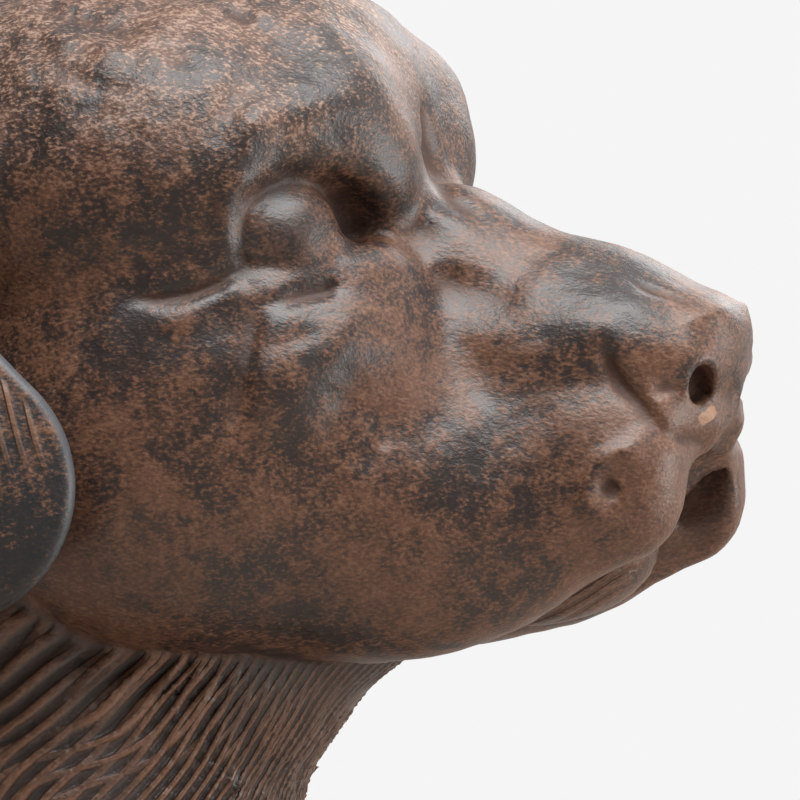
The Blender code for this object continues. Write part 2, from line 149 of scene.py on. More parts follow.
# Masses, in drawn units: centre, radii, pitch in degrees (nose end up), squareness (2 is an ellipsoid), and
# blend with what is there. A mass away from the middle stands for a pair, one each side
SKULL = (
    ((-142, 0, 31), (68, 55, 52), 0, 2.2, 12),      # brain case
    ((-192, 0, 28), (38, 42, 38), 0, 2.0, 18),      # back of the skull
    ((-105, 0, 45), (30, 34, 34), 0, 2.3, 12),      # forehead
    ((-126, 35, 34), (38, 23, 34), 0, 2.0, 12),     # temple
    ((-114, 38, -2), (34, 19, 20), 0, 2.0, 12),     # cheek bone
    ((-128, 34, -26), (44, 29, 42), 0, 2.0, 14),    # cheek
    ((-92, 22, -31), (42, 25, 37), 4, 2.0, 20),     # hinge of the lips
    ((-178, 45, 44), (24, 16, 15), -20, 2.0, 12),   # root of the ear
)
MUZZLE = (
    ((-46, 0, -8), (46, 27, 27), -4, 2.4, 10),      # upper jaw
    ((-41, 0, 5.2), (33, 14.5, 18.5), -12, 2.3, 7),     # bridge of the nose
    ((-68.5, 0, 14.5), (22, 20, 20.5), -28, 2.0, 9),    # stop
    ((-21.5, 17, -25.5), (14.5, 10, 19), 0, 2.6, 5),    # whisker pad
    ((-29, 17.5, -29), (19, 11.5, 19.5), 8, 2.3, 7),    # hanging lip, front
    ((-51, 18, -37), (24, 14.5, 24), 10, 2.2, 12),  # hanging lip, middle
    ((-72, 20, -42), (28, 17, 25), 8, 2.0, 18),     # hanging lip, back
)
BROW = (
    ((-88.3, 22, 48), (15.5, 15, 18), 0, 2.1, 7),   # over the eye
    ((-80.6, 20, 37), (9.5, 9, 12), -8, 2.0, 9),    # inner end
    ((-96, 33, 44), (13, 11, 14), 0, 2.0, 7),       # outer end
)
NOSE = (
    ((-12.2, 0, -2), (13, 16.5, 13.5), -12, 2.3, 2.0),  # body of the nose
    ((-14.8, 12.5, -4.5), (13, 8.5, 12.2), -22, 2.2, 2.5),  # wing
    ((-25, 15, 1), (11, 8.5, 9), 0, 2.0, 7),            # wing's root, level with the muzzle
    ((-11.5, 0, 5.5), (11, 14, 6.5), -14, 2.4, 4),      # flat top
)
NECK = (
    ((-170, 0, -30), (60, 51, 80), 0, 2.0, 16),
    ((-176, 0, -130), (66, 56, 92), 0, 2.0, 24),
    ((-172, 0, CUT_LEVEL), (90, 76, 80), 0, 2.0, 34),   # chest, which stands on the cut
)
THROAT = (
    ((-94, 0, -49), (26, 24, 27), 0, 2.0, 12),
    ((-123, 0, -70), (32, 34, 32), 0, 2.0, 14),
    ((-150, 0, -98), (38, 44, 42), 0, 2.0, 16),
)
CHIN = ((-44, 0, -46), (24, 14.5, 16.5), 14, 2.2, 2.5)
SOCKET = (
    ((-87, 42, 27), (12, 12, 10), 0, 2.0, 9),       # round the eye
    ((-81, 31.5, 25.5), (7.5, 8.5, 7), 0, 2.0, 9),  # deepest, before the inner corner
)
EYEBALL = ((-93.6, 36, 23.3), (11.7, 11.8, 12.5), 0, 2.0, 2.5)

# The left lip hangs this much lower, and is this much further forward than the middle. The lips are what lies
# before LIP_BACK and below LIP_TOP, and one side passes into the other within LIP_HALF of the middle. They
# hang freely from LIP_LENGTH and LIP_DEPTH beyond those two
LIP_DROP = 3.0
LIP_ADVANCE = 1.5
LIP_BACK, LIP_TOP, LIP_HALF = -62.0, -10.0, 14.0
LIP_LENGTH, LIP_DEPTH = 34.0, 24.0

# Rolls of skin under the eye: two ends, the radius at each, blend
ROLLS = (
    ((-83, 33, 13), (-93, 43, 6.5), 7.5, 8.0, 8),           # bag
    ((-80, 38, 0), (-91, 46, -7), 9.5, 9.0, 9),             # fullness below the bag
    ((-82, 36, 15.5), (-98, 50, 9), 3.4, 3.2, 4),           # lower lid
    ((-73, 27, 14), (-70, 27, -10), 5.5, 7.0, 12),          # slope from the bag to the muzzle
)

# Folds: corners of the tool's path, its width, how deep it goes (a negative depth raises a ridge), and how
# much of the distance across the head counts (little, where the path is drawn as seen from the side)
FOLDS = (
    # Furrow up the middle of the forehead, and its fork at the stop
    (((-71, 0, 36), (-75, 0, 43), (-79, 0, 51), (-90, 0, 67), (-110, 0, 79)), 4.4, 3.2, 1.0),
    (((-76, 0, 44), (-73.5, 1, 40), (-70.4, 3.2, 36), (-65.5, 8.3, 31), (-60.7, 10, 28.7), (-56, 11.8, 26)),
     3.0, 1.5, 1.0),
    # Crease under the lower lid, and the edge of the bag
    (((-79, 41, 13.5), (-82, 43, 12.4), (-87.5, 47.7, 11), (-91, 50, 10), (-94, 50, 10.5)), 2.2, 0.8, 0.15),
    (((-80, 40, 4), (-85, 44, 2), (-90, 47, 0.5), (-93, 50, 0)), 1.8, 0.6, 0.15),
    (((-73.5, 37, 7), (-72.9, 43, 1), (-75, 46, -8), (-77.5, 47, -15)), 3.0, 0.7, 0.15),
    # Rim of the eye socket, and the groove between it and the eyeball
    (((-92, 47, 56), (-96, 50, 50), (-98, 51, 40), (-98.5, 51, 30), (-99, 52, 22), (-102, 54, 18)),
     4.6, -2.0, 0.15),
    (((-93, 47, 37), (-97.5, 49, 31), (-98.5, 50, 23), (-97.5, 50, 15)), 2.1, 1.5, 0.15),
    # Folds behind and below the eye
    (((-99, 52, 18), (-103, 54, 14.5), (-108, 56, 12), (-115, 57, 10.7), (-122, 58, 10.5)), 1.8, 1.7, 0.15),
    (((-98, 52, 15), (-101, 54, 12), (-108.5, 56, 7.5), (-116, 57, 5)), 3.2, -0.8, 0.15),
    (((-96.5, 50, 15), (-95.4, 52, 8), (-95.4, 55, -1), (-96.7, 57, -10), (-99, 58, -18)), 3.2, 1.7, 0.15),
    # Hollow beside the bridge of the nose
    (((-66, 23, 15), (-55, 22.5, 11), (-42, 22, 8)), 4.2, 1.6, 0.15),
    (((-66, 20, 28), (-68, 22, 20), (-67, 23, 12)), 4.4, 0.9, 0.15),
    # Edge of the nose leather, and the slit behind the nostril
    (((-24, 12, 13), (-18, 12, 12), (-12, 12, 10.5), (-8, 12, 9)), 1.8, 0.8, 1.0),
    (((-8, 15, 5), (-6, 14, 6.6), (-3, 12, 7.3), (-1.5, 9, 8.8), (0, 3, 9.9)), 1.7, -0.7, 0.5),
    (((-24, 23, 2), (-23, 23, -3), (-20.5, 24, -8), (-16, 24, -12.5), (-11, 22, -18), (-7, 16, -20.5),
      (-4, 8, -21)), 2.0, 1.4, 0.3),
    (((-27, 26, -2), (-24, 26, -9), (-19.5, 25, -15), (-15, 24, -20)), 5.0, 1.3, 0.3),
    (((-7, 18, -8), (-10, 20, -8.8), (-14, 22, -9)), 1.7, 1.1, 0.3),
    # Rim of the upper lip, and the scar on the whisker pad
    (((-9, 8, -21), (-9, 13, -27), (-10, 16, -34), (-14, 19, -41), (-24, 22, -48)), 1.7, -0.9, 1.0),
    (((-18, 31, -29), (-21, 31, -32)), 2.2, 1.8, 0.15),
    (((-13, 30, -26), (-17, 31, -22), (-22, 32, -25), (-24, 32, -33), (-19, 31, -38)), 2.4, -1.0, 0.15),
)
# A fold has this share of its depth at either end, and the whole of it after this share of its length. It
# reaches this many widths to either side
FOLD_END, FOLD_FADE, FOLD_REACH = 0.2, 0.2, 2.6

# The space that the form fills on the dog's left: from where to where it runs along X, Y and Z
SPACE = ((-276.0, 6.0), (0.0, 92.0), (CUT_LEVEL - 6.0, 94.0))


def drawn(length):
    """A real length in the drawing's units."""
    return length / UNIT


def smooth_union(a, b, blend):
    """The lesser of two distances, with the corner between them rounded over blend."""
    h = np.maximum(blend - np.abs(a - b), 0) / blend
    return np.minimum(a, b) - h * h * blend / 4


def smooth_cut(a, b, blend):
    """Distance a with distance b taken out of it."""
    return -smooth_union(-a, b, blend)


def turned(pitch):
    """The turn that lifts a mass's front end by the pitch."""
    return np.array(Euler((0, np.radians(-pitch), 0)).to_matrix())


def mass(points, centre, radii, pitch=0, squareness=2.0):
    """Distance from a rounded mass."""
    radii = np.array(radii, float)
    q = np.abs((points - centre) @ turned(pitch)) / radii + 1e-9
    if squareness == 2.0:
        near = np.sqrt((q * q).sum(1))
        return (near - 1) * near / np.linalg.norm(q / radii, axis=1)
    steep = q ** (squareness - 1)
    near = (steep * q).sum(1) ** (1 / squareness)
    return (near - 1) * near ** (squareness - 1) / np.linalg.norm(steep / radii, axis=1)


def pressed(d, points, masses):
    """Distance d with each mass pressed onto it."""
    for centre, radii, pitch, squareness, blend in masses:
        d = smooth_union(d, mass(points, centre, radii, pitch, squareness), blend)
    return d


def limb(points, start, end, start_radius, end_radius):
    """Distance from a rod with round ends whose radius changes along it."""
    start, along = np.array(start, float), np.array(end, float) - start
    share = np.clip((points - start) @ along / (along @ along), 0, 1)
    from_axis = np.linalg.norm(points - start - share[:, None] * along, axis=1)
    return from_axis - start_radius - (end_radius - start_radius) * share


def curve_through(corners, steps=5):
    """Points along a smooth curve through the corners."""
    c = np.array(corners, float)
    ends = np.vstack([2 * c[0] - c[1], c, 2 * c[-1] - c[-2]])
    t = np.linspace(0, 1, steps, endpoint=False)[:, None]
    parts = []
    for a, b, d, e in zip(ends, ends[1:], ends[2:], ends[3:]):
        cubic = 3 * b - a - 3 * d + e
        parts.append(b + 0.5 * t * ((d - a) + t * ((2 * a - 5 * b + 4 * d - e) + t * cubic)))
    return np.vstack([*parts, c[-1:]])


def fold(points, corners, width, depth, across):
    """How far a tool drawn through the corners pushes the surface in."""
    scale = np.array((1, across, 1))
    path = curve_through(corners) * scale
    result = np.zeros(len(points))
    reach = FOLD_REACH * width
    low, high = path.min(0) - reach, path.max(0) + reach
    seen = np.flatnonzero(((points * scale > low) & (points * scale < high)).all(1))
    p = points[seen] * scale
    nearest = np.full(len(p), np.inf)
    place = np.zeros(len(p))
    for i, (a, b) in enumerate(zip(path, path[1:])):
        along = b - a
        share = np.clip((p - a) @ along / (along @ along), 0, 1)
        away = ((p - a - share[:, None] * along) ** 2).sum(1)
        closer = away < nearest
        nearest = np.where(closer, away, nearest)
        place = np.where(closer, (i + share) / (len(path) - 1), place)
    fade = np.clip(FOLD_END + (1 - FOLD_END) / FOLD_FADE * np.minimum(place, 1 - place), 0, 1)
    result[seen] = depth * fade * np.exp(-nearest / width**2)
    return result


def past(value, start, reach):
    """0 up to start, 1 from reach beyond it on, and a straight climb between them."""
    return np.clip((value - start) / reach, 0, 1)


def eased(value):
    """0 below 0, 1 above 1, and a smooth climb between them."""
    value = np.clip(value, 0, 1)
    return value * value * (3 - 2 * value)


# A sway is the sum of this many waves, whose crests together stand about this high
SWAY_WAVES = 5
SWAY_CREST = 2.6


def sway(points, length, seed):
    """A smooth irregular value between about -1 and 1, which changes over the given length."""
    rng = np.random.default_rng(seed)
    total = np.zeros(len(points))
    for _ in range(SWAY_WAVES):
        way = rng.normal(size=3)
        way *= rng.uniform(0.7, 1.5) / np.linalg.norm(way)
        total += np.sin(points @ way * (2 * np.pi / length) + rng.uniform(0, 6.3))
    return total / SWAY_CREST


# Ear: a flap that hangs from EAR_ROOT, past EAR_TIP. Its outline is drawn in its own sheet, down and forward.
# It has its full thickness from EAR_TAPER inside its edge, and EAR_EDGE of that at the edge. EAR_ROUNDING is
# how much of the edge's thickness is rounded off
EAR_ROOT = np.array((-184.0, 56.0, 41.0))
EAR_TIP = np.array((-156.0, 73.0, -61.0))
EAR_TURN = 12.0
EAR_CURL = 0.005
EAR_SWELL = 6.0
EAR_TAPER, EAR_EDGE = 16.0, 0.42
EAR_ROUNDING = 0.8
EAR_TOP, EAR_MIDDLE, EAR_END = (8.0, -17.0), (48.0, -13.0), (77.0, 6.0)
EAR_TOP_RADIUS, EAR_MIDDLE_RADIUS, EAR_END_RADIUS = 18.0, 30.0, 29.5
EAR_BLEND = 8.0
EAR_LENGTH = float(np.linalg.norm(EAR_TIP - EAR_ROOT))


def ear_axes():
    """The ways down and forward along the ear, and out from the head."""
    down = (EAR_TIP - EAR_ROOT) / EAR_LENGTH
    forward = np.array((np.cos(np.radians(EAR_TURN)), np.sin(np.radians(EAR_TURN)), 0.0))
    forward -= down * (forward @ down)
    forward /= np.linalg.norm(forward)
    return down, forward, np.cross(forward, down)


def ear_bow(down, forward):
    """How far the flap stands out from its own plane at a place on it."""
    return EAR_SWELL * np.sin(np.pi * np.clip(down / EAR_LENGTH, 0, 1)) - EAR_CURL * forward**2


def ear_outline(down, forward):
    """Distance in the ear's own sheet from its outline."""
    q = np.stack([down, forward], 1)
    upper = limb(q, EAR_TOP, EAR_MIDDLE, EAR_TOP_RADIUS, EAR_MIDDLE_RADIUS)
    lower = limb(q, EAR_MIDDLE, EAR_END, EAR_MIDDLE_RADIUS, EAR_END_RADIUS)
    return smooth_union(upper, lower, EAR_BLEND)


def ear_place(points):
    """How far each point is inside the ear's outline, and how far down, forward and out on the ear."""
    down, forward, out = ear_axes()
    q = points - EAR_ROOT
    a, b = q @ down, q @ forward
    return -ear_outline(a, b), a, b, q @ out - ear_bow(a, b)


def thin_ear(inward, out):
    """Distance from the ear, whose edge is thinner than its middle."""
    half = drawn(EAR_THICKNESS) / 2 * (EAR_EDGE + (1 - EAR_EDGE) * past(inward, 0, EAR_TAPER))
    rim = half * EAR_ROUNDING
    over = np.maximum(rim - inward, 0)
    off = np.maximum(np.abs(out) - (half - rim), 0)
    return np.hypot(over, off) - rim


def nothing_yet(points):
    """A distance far from everything, to press the first mass onto."""
    return np.full(len(points), 1e3)


def neck(points):
    """The neck and the chest that it widens into, down past the cut."""
    return pressed(nothing_yet(points), points, (*NECK, *THROAT))


# The combed fur starts where jaw and throat meet and is combed back and down, at this slope in degrees. The
# strands fan out from an axis COMB_INSIDE beyond that start, and are STRAND_SPACING apart at COMB_REACH from
# it. The second set has SECOND_SHARE as many strands as the first, drawn for SECOND_SPACING times the spacing
COMB_START = (-88.0, -76.0)
COMB_SLOPE = 52.0
COMB_INSIDE = 25.0
COMB_REACH = 52.0
SECOND_SHARE, SECOND_SPACING = 0.71, 1.4
STRAND_HALF = 0.95
# The fur's upper edge lies at JAW_EDGE, and behind each of these places it rises by this much more per unit
JAW_EDGE = -68.0
JAW_RISES = ((-95.0, 0.22), (-165.0, 0.9))


def strands(points):
    """The neck's strands: two sets that cross at a slant, as phases, and how high each set stands."""
    x, y, z = points.T
    slope = np.radians(COMB_SLOPE)
    above = (COMB_START[0] - x) * np.sin(slope) + (z - COMB_START[1]) * np.cos(slope) - COMB_INSIDE
    way = np.arctan2(y, above)
    combed = way * COMB_REACH / drawn(STRAND_SPACING) + 0.35 * sway(points, 70, 4)
    first = combed + 0.22 * sway(points, 26, 21)
    second = SECOND_SHARE * combed + 0.8 * sway(points, 90, 9) + 0.2 * sway(points, 22, 22)
    jaw_line = JAW_EDGE + sum(rise * np.maximum(start - x, 0) for start, rise in JAW_RISES)
    grown = past(np.hypot(y, above), 19, 15) * past(jaw_line - z, 0, 6)
    return (
        (first, grown * np.clip(0.75 + 0.5 * sway(points, 45, 11), 0, 1)),
        (second, grown * np.clip(0.45 + 0.9 * sway(points, 50, 12), 0, 1)),
    )


def strand_crest(phase, height, spacing):
    """Height of a narrow strand along every whole number of the phase."""
    away = (phase - np.round(phase)) * spacing
    return height * np.exp(-((away / STRAND_HALF) ** 2))


def neck_coat(points):
    """How far the strands stand out from the neck."""
    spacing = drawn(STRAND_SPACING)
    (first, high), (second, low) = strands(points)
    raised = np.maximum(
        strand_crest(first, high, spacing), strand_crest(second, low, spacing * SECOND_SPACING)
    )
    return drawn(STRAND_HEIGHT) * raised


# The ear's ribs are this far apart at its root, spread by this much for each unit down, and end at RIB_END
RIB_SPACING, RIB_SPREAD, RIB_END = 2.7, 0.010, 84.0
RIB_SHARPNESS = 4.125
RIB_HEIGHT, RIM_HEIGHT = 0.5, 0.35


def ear_ribs(points, down, forward):
    """The ribs that run down the ear and spread a little, as a phase."""
    return forward / (RIB_SPACING + RIB_SPREAD * down) + 0.22 * sway(points, 34, 31)


def ear_coat(points, inward, down, forward):
    """Ribs down the upper part of the ear, and a raised rim round it."""
    phase = ear_ribs(points, down, forward)
    ribs = np.exp(-(((phase - np.round(phase)) * RIB_SHARPNESS) ** 2)) * past(inward, 2.5, 2)
    ribs *= past(RIB_END - down, 0, 20) * np.clip(0.8 + 0.5 * sway(points, 40, 32), 0, 1)
    rim = np.clip(1 - np.abs(inward - 1.0) / 1.4, 0, 1)
    return RIB_HEIGHT * ribs + RIM_HEIGHT * rim


def mouth(points):
    """The gap where the lips part below the nose."""
    upper = limb(points, (0, 0, -23), (-5, 0, -37), 6.0, 14.0)
    lower = limb(points, (-5, 0, -37), (-20, 0, -58), 14.0, 18.0)
    inner = limb(points, (-8, 0, -30), (-25, 0, -32.5), 6.5, 4.5)
    return np.minimum(np.minimum(upper, lower), inner)


def nostril(points):
    """The opening, which faces forward and outward."""
    upper = limb(points, (2, 21, -6.2), (-7, 12.5, -6.8), 3.4, 2.6)
    lower = limb(points, (2, 21, -9.4), (-7, 12.5, -9.2), 3.5, 2.8)
    return smooth_union(upper, lower, 2)


def head(points):
    """The head without its ears."""
    d = pressed(nothing_yet(points), points, (*SKULL, *MUZZLE, *BROW))
    d = smooth_cut(d, mouth(points), 2.5)
    d = pressed(d, points, NOSE)
    d = smooth_cut(d, nostril(points), 1.2)
    for centre, radii, pitch, squareness, blend in SOCKET:
        d = smooth_cut(d, mass(points, centre, radii, pitch, squareness), blend)
    d = pressed(d, points, (EYEBALL,))
    for *rod, blend in ROLLS:
        d = smooth_union(d, limb(points, *rod), blend)
    for one in FOLDS:
        d = d + fold(points, *one)
    crown = past(points[:, 2], 40, 25) * past(-points[:, 0], 95, 25)
    return d - crown * 0.9 * sway(points, 26, 7)


# The chin's grooves are this far apart, and this deep
GROOVE_SPACING, GROOVE_DEPTH = 1.9, 0.45


def chin_grooves(points):
    """The fine grooves along the chin, as a phase, and what share of their depth they have."""
    x, y, z = points.T
    phase = (z * 0.87 - x * 0.5 - 0.006 * (x + 30) ** 2) / GROOVE_SPACING + 0.2 * sway(points, 20, 51)
    return phase, np.clip(1 - np.abs(mass(points, *CHIN[:4])) / 1.5, 0, 1) * eased((y - 1) / 7)


# Soft tufts on the crown and creases of the skin, drawn as the folds are
CREASES = (
    (((-152, 34, 74), (-141, 39, 71), (-131, 42, 69), (-125, 47, 65)), 2.8, 1.0, 0.6),
    (((-150, 40, 69), (-144, 43, 68), (-135, 45, 67), (-128, 49, 64)), 2.4, -0.8, 0.6),
    (((-150, 46, 65), (-140, 52, 60), (-130, 54, 57), (-123, 54, 56)), 2.8, 0.8, 0.6),
    (((-119, 45, 66), (-115.5, 47, 64), (-113, 49, 61)), 2.2, 0.8, 0.6),
    (((-107, 25, 75), (-100, 27, 72), (-91, 24, 70), (-83, 23, 67)), 3.0, -0.7, 0.6),
    (((-110.5, 29.5, 73.6), (-107, 30.5, 72), (-103.5, 31, 70)), 2.0, 0.9, 0.6),
    (((-132, 55, 53), (-128, 56, 51), (-125, 57, 49)), 2.4, 0.6, 0.4),
    (((-35, 21, 10), (-28, 22, 9), (-21, 23, 6.5), (-16, 22, 4)), 1.8, 0.5, 0.6),
    (((-67, 39, -12), (-69, 43, -20), (-75, 47, -26)), 3.0, 0.5, 0.2),
    # Below the tip of the nose, and the ridge over the eye
    (((-1, 0, -11), (-2, 7, -11.5), (-4, 12, -13)), 4.5, 1.7, 0.4),
    (((-97, 52, 43), (-92, 46.5, 49), (-84.5, 39, 52), (-76, 30, 55)), 5.0, -1.6, 0.6),
    # Lids, the crease under the lower one, the back of the nose leather, and the ring round the scar
    (((-97, 49, 16), (-97.5, 48.5, 24), (-95.5, 46.5, 32), (-91, 42, 36), (-85, 38, 34.5), (-81.5, 36.5, 28)),
     1.7, -0.8, 0.4),
    (((-80, 41, 13), (-84, 45, 11.5), (-90, 49.5, 10.2)), 1.7, 0.9, 0.15),
    (((-24, 23, 2), (-23, 23, -3), (-20.5, 24, -8), (-16, 24, -12.5), (-11, 22, -18)), 2.2, 0.8, 0.3),
    (((-13, 30, -26), (-17, 31, -22), (-22, 32, -25), (-24, 32, -33), (-19, 31, -38)), 2.0, -0.6, 0.15),
)
# Fullness where the back of the skull meets the neck
NAPE = ((-196, 0, -8), (35, 40, 30), 0, 2.0, 18)
# The pocket between each lip and the gum
LIP_POCKET = ((-15.0, 11.4, -31.5), (7.4, 2.3, 9.2), -12)


def skin_lumps(points):
    """The unevenness of the modelled skin and short coat."""
    x, y, z = points.T
    crown = past(z, 35, 25) * past(-x, 80, 20)
    return (0.14 + 0.25 * crown) * sway(points, 15, 41) + (0.07 + 0.06 * crown) * sway(points, 8, 42)


def to_the_left(points):
    """The points, with those on the dog's right moved straight across to its left."""
    return points * (1, 0, 1) + np.abs(points) * (0, 1, 0)


def form(points):
    """Distance from the finished surface, in drawn units, on either side of the middle."""
    p = to_the_left(points)
    grooves, deep = chin_grooves(p)
    d = head(p) - skin_lumps(p)
    for one in CREASES:
        d = d + fold(p, *one)
    d = pressed(d, p, (NAPE, CHIN)) + GROOVE_DEPTH * deep * (0.5 + 0.5 * np.cos(2 * np.pi * grooves))
    d = smooth_cut(d, mass(p, *LIP_POCKET), 1.6)
    d = smooth_union(d, neck(p) - neck_coat(p), 3)
    inward, down, forward, out = ear_place(p)
    flap = thin_ear(inward, out) - ear_coat(p, inward, down, forward)
    return smooth_union(d, flap, np.clip(14 - down * 0.35, 1.5, 14))


def settle(points, rounds, most):
    """The points moved onto the form, down its slope, by no more than most at a time."""
    step = 0.05
    corners = np.array(((1, -1, -1), (-1, -1, 1), (-1, 1, -1), (1, 1, 1)), float)
    for _ in range(rounds):
        values = [form(points + step * c) for c in corners]
        slope = sum(np.outer(v, c) for v, c in zip(values, corners)) / (4 * step)
        steep = np.linalg.norm(slope, axis=1)
        move = np.clip(sum(values) / 4 / np.maximum(steep, 0.5), -most, most)
        points = points - slope * (move / (steep + 1e-9))[:, None]
    return points


# More than NEAR_CELLS from the surface, one grid point in each row of COARSE stands for the others
COARSE, NEAR_CELLS = 4, 6


def values_near_form(axes, cell):
    """The form's distance at every grid point, exact near the surface and rough elsewhere."""
    coarse = [axis[::COARSE] for axis in axes]
    rough = form(np.stack(np.meshgrid(*coarse, indexing="ij"), -1).reshape(-1, 3))
    rough = rough.reshape([len(axis) for axis in coarse])
    for way, axis in enumerate(axes):
        rough = np.repeat(rough, COARSE, way).take(range(len(axis)), way)
    near = np.argwhere(np.abs(rough) < NEAR_CELLS * cell)
    rough[tuple(near.T)] = form(np.stack([axis[i] for axis, i in zip(axes, near.T)], 1))
    return rough


CELL_CORNERS = np.array(list(np.ndindex(2, 2, 2)))
MOST_CLOSINGS = 60


def in_one_piece(corners):
    """Whether these corners of a grid cell hang together along its edges."""
    left = [tuple(c) for c in corners]
    reached = left[:1]
    for one in reached:
        reached += [c for c in left if c not in reached and np.abs(np.subtract(c, one)).sum() == 1]
    return len(reached) == len(left)


def codes(inside):
    """For each grid cell, which of its eight corners lie inside, as the bits of a number."""
    size = np.array(inside.shape) - 1
    total = np.zeros(size, np.uint8)
    for bit, shift in enumerate(CELL_CORNERS):
        total |= inside[tuple(slice(o, o + n) for o, n in zip(shift, size))].astype(np.uint8) << bit
    return total


def closed_up(values, cell):
    """The same values, with gaps and walls too thin for the grid filled in."""
    sets = [CELL_CORNERS[(code >> np.arange(8)) & 1 == 1] for code in range(256)]
    whole = [in_one_piece(one) for one in sets]
    thin = np.array([not (whole[code] and whole[255 - code]) for code in range(256)])
    for _ in range(MOST_CLOSINGS):
        cells = np.argwhere(thin[codes(values < 0)])
        if not len(cells):
            break
        corners = cells[:, None] + CELL_CORNERS
        there = values[tuple(corners.reshape(-1, 3).T)].reshape(-1, 8)
        nearest = np.where(there < 0, np.inf, there).argmin(1)
        values[tuple(corners[np.arange(len(cells)), nearest].T)] = -0.05 * cell
    return values


def skin(cell):
    """Corners and four-sided faces of the form's surface, one corner to each grid cell that it crosses."""
    axes = [np.arange(low + cell / 2, high, cell) for low, high in SPACE]
    half = values_near_form(axes, cell)
    values = closed_up(np.concatenate([half[:, ::-1], half], 1), cell)
    axes[1] = np.concatenate([-axes[1][::-1], axes[1]])
    inside = values < 0
    code = codes(inside)
    crossed = np.argwhere((code > 0) & (code < 255))
    number = np.full(code.shape, -1)
    number[tuple(crossed.T)] = np.arange(len(crossed))

    total = np.zeros(crossed.shape)
    crossings = np.zeros(len(crossed))
    for start in CELL_CORNERS:
        for way in np.flatnonzero(start == 0):
            end = start + np.eye(3, dtype=int)[way]
            a = values[tuple((crossed + start).T)]
            b = values[tuple((crossed + end).T)]
            cut = (a < 0) != (b < 0)
            place = crossed + start + np.outer(np.where(cut, a / np.where(cut, a - b, 1), 0), end - start)
            total += place * cut[:, None]
            crossings += cut
    first = np.array([axis[0] for axis in axes])
    corners = first + total / crossings[:, None] * cell

    faces = []
    for way in range(3):
        u, v = np.eye(3, dtype=int)[[(way + 1) % 3, (way + 2) % 3]]
        ahead = np.take(inside, range(1, inside.shape[way]), way)
        here = np.take(inside, range(inside.shape[way] - 1), way)
        edges = np.argwhere(ahead != here)
        edges = edges[((edges @ (u + v)[:, None] > 0).ravel()) & (edges @ u > 0) & (edges @ v > 0)]
        ring = [number[tuple((edges - shift).T)] for shift in (u + v, v, 0 * u, u)]
        ring = np.stack(ring, 1)
        outward = here[tuple(edges.T)]
        faces.append(np.where(outward[:, None], ring, ring[:, ::-1]))
    faces = np.concatenate(faces)
    return corners, faces[(faces >= 0).all(1)]


def form_mesh(cell):
    """The form's skin as a mesh, with its corners settled and its lips hung."""
    corners, faces = skin(cell)
    mesh = bpy.data.meshes.new("rusted_bust")
    mesh.from_pydata(hung(settle(corners, 2, 0.3 * cell)), [], faces.tolist())
    return mesh


def hung(corners):
    """The corners with the lips let hang: the left one lower and further forward than the right one."""
    x, y, z = corners.T
    lip = eased((x - LIP_BACK) / LIP_LENGTH) * eased((LIP_TOP - z) / LIP_DEPTH)
    ahead = 2 * eased((y + LIP_HALF) / (2 * LIP_HALF)) - 1
    lower = eased((y - 2) / LIP_HALF)
    return corners + np.outer(lip * ahead, (LIP_ADVANCE, 0, 0)) - np.outer(lip * lower, (0, 0, LIP_DROP))


def not_hung(corners):
    """Where the corners were before the lips were let hang."""
    found = corners
    for _ in range(3):
        found = corners - (hung(found) - found)
    return found


def with_fewer_faces(mesh):
    """The mesh, whose faces are four-sided, thinned to FACES triangles, mostly where the form is plain."""
    holder = bpy.data.objects.new("fine", mesh)
    bpy.context.collection.objects.link(holder)
    fewer = holder.modifiers.new("fewer faces", "DECIMATE")
    fewer.ratio = FACES / (2 * len(mesh.polygons))
    fewer.use_collapse_triangulate = True
    shown = holder.evaluated_get(bpy.context.evaluated_depsgraph_get())
    made = bpy.data.meshes.new_from_object(shown)
    bpy.data.objects.remove(holder)
    bpy.data.meshes.remove(mesh)
    return made


# Where rust lies thicker or thinner: centre of the place, its reach, and how much more rust there is
WEAR = (
    ((-147, 54, 53), 18, -0.10),    # side of the crown
    ((-102, 54, 36), 14, -0.12),    # behind the eye
    ((-116, 56, 10), 14, -0.08),
    ((-86, 34, 57), 18, -0.12),     # over the eye
    ((-86, 43, 4), 13, -0.12),      # bag under it
    ((-59, 20, 12), 7, -0.08),      # side of the muzzle
    ((-60, 24, 2), 12, -0.08),
    ((-53, 26, 1), 14, 0.10),
    ((-26, 22, 9), 11, -0.16),
    ((-5, 12, 0), 18, 0.12),        # nose
    ((-17, 28, -31), 17, 0.16),     # whisker pad
    ((-47, 36, -31), 15, -0.14),    # hanging lip
    ((-69, 43, -46), 16, 0.10),
    ((-62, 37, -57), 9, 0.14),
    ((-20, 12, -45), 18, 0.10),     # chin
    ((-90, 44, -58), 14, -0.12),    # jaw
    ((-124, 59, -46), 20, 0.08),    # cheek
)
EYE_PLACE, EYE_REACH = (-90, 44, 26), 7.0
# A scrape below the right nostril, where the rust is rubbed off
SCRAPE = ((-6, 16, -16), (-4, 13, -15.5), (-2.3, 10.5, -13), (-1, 7.5, -10))
SCRAPE_WIDTH = 1.7
# How far round each place the surface's turn is taken, for the hollows and for the crests
HOLLOW_REACH, CREST_REACH = 4.0, 1.3


def bend(points, reach):
    """How the surface turns within the reach: above 0 on a crest, and below 0 in a hollow."""
    around = reach * (2 * CELL_CORNERS - 1) / np.sqrt(3)
    return sum(form(points + shift) for shift in around) / (len(around) * reach)


def glow(points, centre, reach):
    """1 at the centre, and less away from it, with little left past the reach."""
    return np.exp(-((points - centre) ** 2).sum(1) / reach**2)


